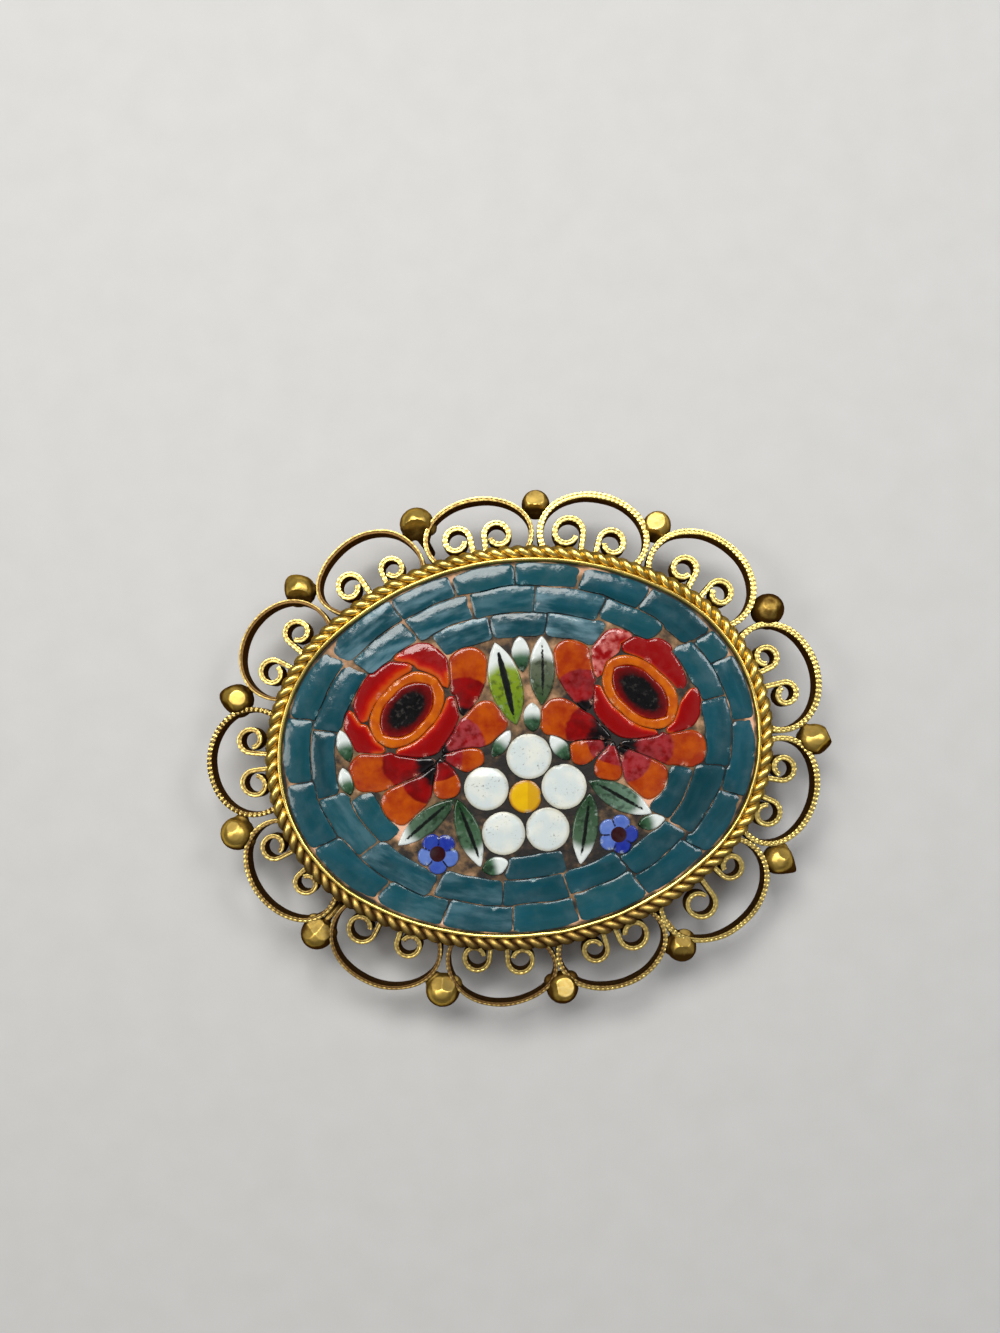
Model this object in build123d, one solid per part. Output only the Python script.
"""Micromosaic brooch, in millimetres: an oval gilt cup full of small glass stones, in a wirework border.

The origin is on the surface that the brooch lies on, under the middle of the oval.
+X is the long way of the oval, and the stones face +Z.
"""
from build123d import *
import os
from math import atan2, cos, degrees, radians, sin, sqrt, tan

os.makedirs("parts", exist_ok=True)

# Cup: length and width are measured to the middle of its wall
rim_length = 34.4
rim_width = 26.8
end_half_angle = 54.4
rim_wall = 0.4
cup_height = 3.0
cup_floor = 0.6
cup_corner = 0.4
stand_off = 2.6

# Rope wire round the rim
rope_diameter = 1.04
solder = 0.12

# Ribbon wire on edge, in scallops and scrolls
wire_width = 0.36
wire_height = 1.2
wire_drop = 0.65
scallop_reach = 5.2
scallop_belly = 0.30
scroll_radius = 1.07
scroll_reach = 2.0
scroll_tightening = 0.78
scroll_end_turn = 165

# Beads between the scallops
bead_diameter = 2.25
bead_solder = 0.6

# Stones and the mastic under them
stone_height = 0.8
stone_sink = 0.1
bed_clearance = 0.05
tile_corner = 0.25

# Pin on the back
pin_span = 22.0
pin_wire = 0.8
pin_overhang = 3.0
pin_point = 2.0
pin_depth = 1.0
foot_length = 2.4
foot_width = 4.4
foot_corner = 0.3

half_length = rim_length / 2
half_width = rim_width / 2
rim_top = stand_off + cup_height
stone_floor = rim_top - stone_sink - stone_height

# The oval is four tangent arcs: two round ends and two flatter sides that meet them at end_half_angle
end_share = 1 / cos(radians(end_half_angle)) - tan(radians(end_half_angle))
end_radius = (half_width - half_length * end_share) / (1 - end_share)
end_centre = half_length - end_radius
flat_centre = end_centre * tan(radians(end_half_angle))
flat_radius = half_width + flat_centre


def oval_arcs(outward):
    """The oval's arcs, that far outside the wall's middle: centre X and Y, radius, first angle, size."""
    flat_size = 180 - 2 * end_half_angle
    return [
        (end_centre, 0, end_radius + outward, -end_half_angle, 2 * end_half_angle),
        (0, -flat_centre, flat_radius + outward, end_half_angle, flat_size),
        (-end_centre, 0, end_radius + outward, 180 - end_half_angle, 2 * end_half_angle),
        (0, flat_centre, flat_radius + outward, 180 + end_half_angle, flat_size),
    ]


def oval_face(outward):
    """Flat face inside the oval, that far outside the middle of the wall."""
    arcs = [CenterArc((x, y), radius, first, size) for x, y, radius, first, size in oval_arcs(outward)]
    return make_face(arcs)


def rim_point(angle, outward):
    """Point that far outside the wall's middle, where the oval's outward normal has this angle."""
    for x, y, radius, first, size in oval_arcs(outward):
        if (angle - first) % 360 <= size:
            return Vector(x + radius * cos(radians(angle)), y + radius * sin(radians(angle)))


# Setting: cup, rope, scallops, scrolls and beads, soldered into one piece

def cup():
    """Shallow tray with a thin upright wall and a rounded lower corner."""
    outside = Pos(0, 0, stand_off) * extrude(oval_face(rim_wall / 2), cup_height)
    outside = fillet(outside.edges().group_by(Axis.Z)[0], cup_corner)
    hollow = Pos(0, 0, stand_off + cup_floor) * extrude(oval_face(-rim_wall / 2), cup_height)
    return outside - hollow


rope_outward = rim_wall / 2 + rope_diameter / 2 - solder


def rope():
    """Round wire that follows the oval outside the wall, level with the rim."""
    runs = []
    height = rim_top - rope_diameter / 2
    for x, y, radius, first, size in oval_arcs(rope_outward):
        heading = Vector(cos(radians(first)), sin(radians(first)))
        along = Vector(-heading.Y, heading.X)
        start = Plane(origin=Vector(x, y, height) + heading * radius, x_dir=heading, z_dir=along)
        runs.append(revolve(start * Circle(rope_diameter / 2), Axis((x, y, 0), (0, 0, 1)), size))
    return runs


# Scallops, counter-clockwise from the right end.
# first and last foot: angles of the oval's normal; reach: share of scallop_reach
SCALLOPS = [
    (-5.6, 28.0, 1.00),
    (31.6, 61.2, 1.04),
    (62.4, 81.3, 1.02),
    (82.9, 101.6, 0.95),
    (102.8, 121.5, 1.00),
    (123.4, 153.8, 1.02),
    (157.3, 190.1, 1.03),
    (192.4, 225.9, 0.97),
    (228.5, 250.7, 1.06),
    (251.9, 270.8, 1.00),
    (272.1, 291.3, 1.00),
    (292.1, 317.9, 1.08),
    (319.1, 352.7, 0.95),
]

# Scrolls, in the same order. angle: of the oval's normal through the loop's centre;
# reach and size: shares of scroll_reach and scroll_radius; stem: 1 on the counter-clockwise side
SCROLLS = [
    (5.8, 1.20, 0.88, 1), (17.6, 0.95, 0.88, -1),
    (42.2, 1.05, 0.95, 1), (54.6, 1.05, 0.95, -1),
    (68.5, 1.00, 1.00, 1), (76.2, 1.10, 1.12, -1),
    (89.1, 1.00, 1.00, 1), (96.0, 1.05, 1.00, -1),
    (108.8, 0.90, 0.88, 1), (116.7, 1.10, 1.00, -1),
    (131.8, 1.10, 0.95, 1), (145.4, 1.05, 0.95, -1),
    (167.4, 1.12, 0.95, 1), (179.9, 1.00, 1.00, -1),
    (200.5, 1.05, 0.95, 1), (214.8, 0.85, 0.88, -1),
    (236.1, 0.98, 1.06, 1), (244.8, 0.90, 0.95, -1),
    (257.4, 0.88, 1.00, 1), (265.1, 0.92, 1.00, -1),
    (278.8, 1.00, 0.95, 1), (285.9, 0.95, 1.10, -1),
    (299.2, 1.20, 1.12, 1), (308.4, 0.90, 0.95, -1),
    (328.9, 0.92, 1.00, 1), (342.9, 1.00, 0.95, -1),
]

# Beads: angle of the oval's normal; reach and size: shares of scallop_reach and bead_diameter
BEADS = [
    (29.1, 0.74, 1.00),
    (61.9, 0.79, 1.00),
    (82.1, 0.80, 0.98),
    (101.9, 0.81, 1.04),
    (123.9, 0.84, 1.02),
    (156.5, 0.74, 1.00),
    (192.6, 0.83, 1.02),
    (226.8, 0.77, 1.02),
    (252.3, 0.87, 1.00),
    (271.8, 0.81, 1.02),
    (292.4, 0.85, 1.00),
    (318.7, 0.84, 0.98),
    (352.0, 0.81, 1.04),
]


def scallop(first_foot, last_foot, reach):
    """Open oval loop of ribbon wire, widest a little outside its feet, which end under the rope."""
    feet_outward = rim_wall / 2 + rope_diameter - solder
    start = rim_point(first_foot, feet_outward)
    end = rim_point(last_foot, feet_outward)
    crest = rim_point((first_foot + last_foot) / 2, reach * scallop_reach)
    feet = (start - end) / 2
    turn = degrees(atan2(feet.Y, feet.X))
    rise = (crest - (start + end) / 2).rotate(Axis.Z, -turn).Y
    belly = scallop_belly * rise
    half_height = rise - belly
    half_across = feet.length / sqrt(1 - (belly / half_height) ** 2)
    loop = Ellipse(half_across, half_height) - Ellipse(half_across - wire_width, half_height - wire_width)
    middle = (start + end) / 2 + Vector(0, belly).rotate(Axis.Z, turn)
    return Pos(middle.X, middle.Y) * Rot(0, 0, turn) * loop


def scroll(angle, reach, size, stem):
    """Ribbon wire that stands up from the rope, turns over and curls in."""
    radius = size * scroll_radius - wire_width / 2
    tight = radius * scroll_tightening
    rise = reach * scroll_reach
    start = 90 + 90 * stem
    path = [
        Line((-stem * radius, -rise), (-stem * radius, 0)),
        CenterArc((0, 0), radius, start, -180 * stem),
        CenterArc((stem * (radius - tight), 0), tight, start - 180, -scroll_end_turn * stem),
    ]
    ribbon = trace(Wire(path), wire_width)
    centre = rim_point(angle, rise)
    return Pos(centre.X, centre.Y) * Rot(0, 0, angle - 90) * ribbon


def wirework():
    """Scallops and scrolls, cut off in the middle of the cup's wall."""
    loops = [scallop(*row) for row in SCALLOPS] + [scroll(*row) for row in SCROLLS]
    inside = oval_face(0)
    height = rim_top - wire_drop - wire_height
    return [Pos(0, 0, height) * extrude(loop - inside, wire_height) for loop in loops]


def beads():
    """Beads in the gaps between neighbouring scallops, each on a run of solder from the cup's wall."""
    pieces = []
    height = rim_top - wire_drop - wire_height / 2
    for angle, reach, size in BEADS:
        outward = Rot(0, 0, angle) * Rot(0, 90, 0)
        run_length = reach * scallop_reach
        run = Cylinder(bead_solder / 2, run_length, align=(Align.CENTER, Align.CENTER, Align.MIN))
        wall = rim_point(angle, 0)
        centre = rim_point(angle, run_length)
        pieces.append(Pos(wall.X, wall.Y, height) * outward * run)
        pieces.append(Pos(centre.X, centre.Y, height) * outward * Sphere(size * bead_diameter / 2))
    return pieces


def setting():
    """Everything of gilt brass but the pin, in one piece."""
    return cup() + rope() + wirework() + beads()


# Pin: a hinge block, a stem and a catch, in one plain piece under the cup

def pin_foot(middle):
    """Block between the cup and the surface below, flat at both ends."""
    block = Pos(middle, 0, stand_off / 2) * Box(foot_length, foot_width, stand_off)
    return fillet(block.edges().filter_by(Axis.Z), foot_corner)


def pin_clasp():
    """Stem between two blocks, its point past the catch."""
    stem_length = pin_span + pin_overhang
    stem = Cylinder(pin_wire / 2, stem_length, align=(Align.CENTER, Align.CENTER, Align.MIN))
    point = Cone(pin_wire / 2, pin_wire / 8, pin_point, align=(Align.CENTER, Align.CENTER, Align.MIN))
    pin = stem + Pos(0, 0, stem_length) * point
    pin = Pos(-pin_span / 2, 0, pin_depth) * Rot(0, 90, 0) * pin
    return pin + pin_foot(-pin_span / 2) + pin_foot(pin_span / 2)


# Mosaic. Its chart is drawn in half widths of the rim, as wide as it is on a brooch chart_length times as
# long as wide, and is stretched to fit another oval

chart_length = 1.2836


def on_chart(point):
    """Place on the brooch of a point of the chart."""
    return Vector(point[0] / chart_length * half_length, point[1] * half_width)


def beside(start, end, share, side):
    """Chart point a share of the way from start to end, and that far to the left."""
    run = Vector(*end) - Vector(*start)
    left = Vector(-run.Y, run.X).normalized()
    point = Vector(*start) + run * share + left * side
    return (point.X, point.Y)


def stone(*points):
    """Upright stone whose outline is arcs: each starts at a point, passes the next and ends at the third."""
    places = [on_chart(point) for point in points]
    places.append(places[0])
    arcs = [ThreePointArc(*places[first:first + 3]) for first in range(0, len(points), 2)]
    return Pos(0, 0, stone_floor) * extrude(make_face(arcs), stone_height)


def petal(tip, end, width):
    """Teardrop with a half round end."""
    length = (Vector(*end) - Vector(*tip)).length
    shoulder = 1 - width / 2 / length
    belly = shoulder / 2
    return stone(
        tip, beside(tip, end, belly, 0.36 * width),
        beside(tip, end, shoulder, 0.5 * width), end,
        beside(tip, end, shoulder, -0.5 * width), beside(tip, end, belly, -0.36 * width),
    )


def leaf(base, tip, width):
    """Almond, pointed at both ends."""
    return stone(base, beside(base, tip, 0.5, width / 2), tip, beside(base, tip, 0.5, -width / 2))


def oval_stone(centre, long_radius, short_radius, turn):
    """Oval stone, its long way turned from +X."""
    across = Vector(1, 0).rotate(Axis.Z, turn)
    points = []
    for quarter in range(8):
        angle = radians(45 * quarter)
        place = across * (long_radius * cos(angle)) + across.rotate(Axis.Z, 90) * (short_radius * sin(angle))
        points.append((centre[0] + place.X, centre[1] + place.Y))
    return stone(*points)


# Roses. centre: chart; length and width: half sizes of the ring; turn: degrees from +X
ROSES = {
    "left": ((-0.569, 0.279), 0.222, 0.144, 39.5),
    "right": ((0.678, 0.210), 0.231, 0.139, -50.6),
}
ring_width = 0.036
ring_joint = 0.010

# Outer petals of each rose: first end, outer middle, last end, inner middle.
# Each is an angle round the ring and a reach in ring sizes
ROSE_PETALS = {
    "left": [
        ((52, 1.30), (98, 1.80), (134, 1.33), (95, 1.10)),
        ((66, 1.74), (30, 1.68), (337, 1.20), (24, 1.19)),
        ((317, 1.37), (275, 1.76), (222, 1.26), (273, 1.14)),
        ((125, 1.74), (160, 1.53), (202, 1.22), (152, 1.20)),
    ],
    "right": [
        ((140, 1.38), (96, 1.92), (65, 1.40), (97, 1.14)),
        ((128, 1.68), (169, 1.50), (212, 1.18), (162, 1.18)),
        ((230, 1.32), (268, 1.66), (323, 1.20), (266, 1.18)),
        ((60, 1.80), (29, 1.46), (339, 1.20), (35, 1.19)),
    ],
}


def rose(side):
    """A rose's stones by name: heart, ring round it and outer petals."""
    centre, length, width, turn = ROSES[side]
    heart_length = length - ring_width - ring_joint
    heart_width = width - ring_width - ring_joint
    bore = oval_stone(centre, length - ring_width, width - ring_width, turn)
    stones = {
        "heart": oval_stone(centre, heart_length, heart_width, turn),
        "ring": oval_stone(centre, length, width, turn) - bore,
    }
    for number, corners in enumerate(ROSE_PETALS[side], start=1):
        points = []
        for angle, reach in corners:
            place = Vector(length * reach * cos(radians(angle)), width * reach * sin(radians(angle)))
            place = place.rotate(Axis.Z, turn)
            points.append((centre[0] + place.X, centre[1] + place.Y))
        stones[f"petal_{number}"] = stone(*points)
    return stones


# Petals round the roses: pointed end, round end and width, on the chart
PETALS = {
    "left_1": ((-0.272, 0.222), (-0.196, 0.552), 0.178),
    "left_2": ((-0.362, 0.050), (-0.074, 0.205), 0.185),
    "left_3": ((-0.372, 0.004), (-0.216, -0.038), 0.108),
    "left_4": ((-0.420, -0.030), (-0.411, -0.204), 0.112),
    "left_5": ((-0.474, -0.098), (-0.740, -0.266), 0.172),
    "left_6": ((-0.480, -0.034), (-0.903, -0.026), 0.178),
    "right_1": ((0.392, 0.150), (0.325, 0.520), 0.176),
    "right_2": ((0.456, 0.010), (0.150, 0.170), 0.180),
    "right_3": ((0.440, -0.028), (0.276, -0.078), 0.100),
    "right_4": ((0.496, -0.050), (0.442, -0.228), 0.112),
    "right_5": ((0.528, -0.082), (0.722, -0.325), 0.176),
    "right_6": ((0.572, -0.067), (0.978, -0.141), 0.166),
}

# White flower: centre and radius of each disc, on the chart
DISCS = {
    "white_disc_top": ((0.045, -0.053), 0.118),
    "white_disc_left": ((-0.203, -0.191), 0.116),
    "white_disc_right": ((0.209, -0.237), 0.118),
    "white_disc_lower_left": ((-0.144, -0.442), 0.113),
    "white_disc_lower_right": ((0.092, -0.452), 0.114),
    "yellow_centre": ((-0.002, -0.262), 0.085),
}

# Blue flowers: centre and radius on the chart, and the angle of the first lobe
BLUE_FLOWERS = {
    "blue_flower_left": ((-0.503, -0.501), 0.108, 44),
    "blue_flower_right": ((0.460, -0.527), 0.104, -5),
}
flower_lobes = 5
lobe_notch = 0.76

# Leaves: lower end, pointed end and width, on the chart
LEAVES = {
    "leaf_left_outer": ((-0.386, -0.230), (-0.706, -0.428), 0.112),
    "leaf_left_inner": ((-0.368, -0.232), (-0.290, -0.597), 0.116),
    "leaf_right_inner": ((0.342, -0.290), (0.243, -0.654), 0.124),
    "leaf_right_outer": ((0.347, -0.227), (0.650, -0.438), 0.124),
    "leaf_bud_yellow": ((-0.001, 0.129), (-0.055, 0.568), 0.164),
    "leaf_bud_grey": ((0.150, 0.216), (0.197, 0.575), 0.128),
}
SMALL_LEAVES = [
    ((-0.278, -0.619), (-0.142, -0.601), 0.080),
    ((0.580, -0.492), (0.715, -0.478), 0.070),
    ((0.070, 0.405), (0.078, 0.585), 0.082),
    ((0.084, 0.082), (0.098, 0.224), 0.084),
    ((-0.146, -0.024), (-0.042, 0.092), 0.064),
    ((0.256, -0.094), (0.176, 0.040), 0.072),
    ((-0.910, 0.052), (-0.937, 0.212), 0.066),
    ((-0.929, -0.128), (-0.951, 0.010), 0.064),
]

# Teal rods of the ground, row by row from the rim inwards.
# first and last: angles round the chart's oval; outer and inner: shares of the oval's size
FIELD_ROWS = [
    (0.5, 19.5, 0.975, 0.895), (20.5, 28.5, 0.970, 0.895), (31, 49, 0.970, 0.870),
    (50, 67.5, 0.965, 0.865), (68.5, 84.5, 0.965, 0.865), (85.5, 101.5, 0.955, 0.865),
    (102.5, 117.5, 0.965, 0.865), (118.5, 138, 0.970, 0.870), (140.5, 160.5, 0.970, 0.880),
    (161.5, 181.5, 0.975, 0.885), (182.5, 203, 0.970, 0.875), (204.5, 224.5, 0.965, 0.865),
    (226.5, 243.5, 0.960, 0.860), (245.5, 262, 0.960, 0.850), (263, 279, 0.960, 0.845),
    (280, 297, 0.955, 0.830), (298, 315.5, 0.965, 0.865), (316.5, 335, 0.970, 0.880),
    (336, 358.5, 0.975, 0.895),
    (9, 30, 0.880, 0.797), (40, 58.5, 0.855, 0.760), (59.5, 79, 0.850, 0.730),
    (80, 98, 0.850, 0.725), (99, 117.5, 0.850, 0.740), (119, 138, 0.855, 0.754),
    (140, 163.5, 0.865, 0.775), (164.5, 188.5, 0.865, 0.785), (189.5, 212, 0.855, 0.755),
    (213.5, 236, 0.850, 0.745), (239.5, 258.5, 0.830, 0.720), (259.5, 278.5, 0.830, 0.710),
    (279.5, 297.5, 0.815, 0.715), (299.5, 319, 0.850, 0.747), (320, 342.5, 0.865, 0.760),
    (344.5, 368, 0.880, 0.790),
    (55, 74, 0.715, 0.620), (75, 94, 0.710, 0.610), (95, 114, 0.710, 0.610),
    (193, 212.5, 0.740, 0.655), (260.5, 280, 0.695, 0.600), (321.5, 341, 0.745, 0.660),
]


def row_point(angle, share):
    """Place on the brooch at an angle round the chart's oval and a share of its size."""
    return on_chart((chart_length * share * cos(radians(angle)), share * sin(radians(angle))))


def field_rod(first, last, outer, inner):
    """Rod with straight ends and rounded corners, its long sides curved with the row."""
    middle = (first + last) / 2
    outside = ThreePointArc(row_point(first, outer), row_point(middle, outer), row_point(last, outer))
    inside = ThreePointArc(row_point(first, inner), row_point(middle, inner), row_point(last, inner))
    face = make_face([outside, Line(outside @ 1, inside @ 1), inside, Line(inside @ 0, outside @ 0)])
    face = fillet(face.vertices(), tile_corner)
    return Pos(0, 0, stone_floor) * extrude(face, stone_height)


def blue_flower(centre, radius, first_lobe):
    """Flower with round lobes, cut from one piece."""
    points = []
    step = 360 / flower_lobes
    for lobe in range(flower_lobes):
        for turn, reach in ((-step / 2, lobe_notch * radius), (0, radius)):
            angle = radians(first_lobe + lobe * step + turn)
            points.append((centre[0] + reach * cos(angle), centre[1] + reach * sin(angle)))
    return stone(*points)


def cement_bed():
    """Slab of mastic between the floor of the cup and the stones."""
    bottom = stand_off + cup_floor
    slab = extrude(oval_face(-rim_wall / 2 - bed_clearance), stone_floor - bottom)
    return Pos(0, 0, bottom) * slab


def mosaic():
    """All the stones by node name."""
    stones = {"field_tesserae": Compound(children=[field_rod(*row) for row in FIELD_ROWS])}
    stones["small_leaves"] = Compound(children=[leaf(*row) for row in SMALL_LEAVES])
    for side in ROSES:
        for name, piece in rose(side).items():
            stones[f"rose_{side}_{name}"] = piece
    for name, row in PETALS.items():
        stones[f"petal_{name}"] = petal(*row)
    for name, (centre, radius) in DISCS.items():
        stones[name] = oval_stone(centre, radius, radius, 0)
    for name, row in BLUE_FLOWERS.items():
        stones[name] = blue_flower(*row)
    for name, row in LEAVES.items():
        stones[name] = leaf(*row)
    return stones


nodes = {"setting": setting(), "pin_clasp": pin_clasp(), "cement_bed": cement_bed()}
nodes.update(mosaic())
for name, shape in nodes.items():
    export_step(shape, f"parts/{name}.step")
    print(name, len(shape.solids()), round(shape.volume, 3))
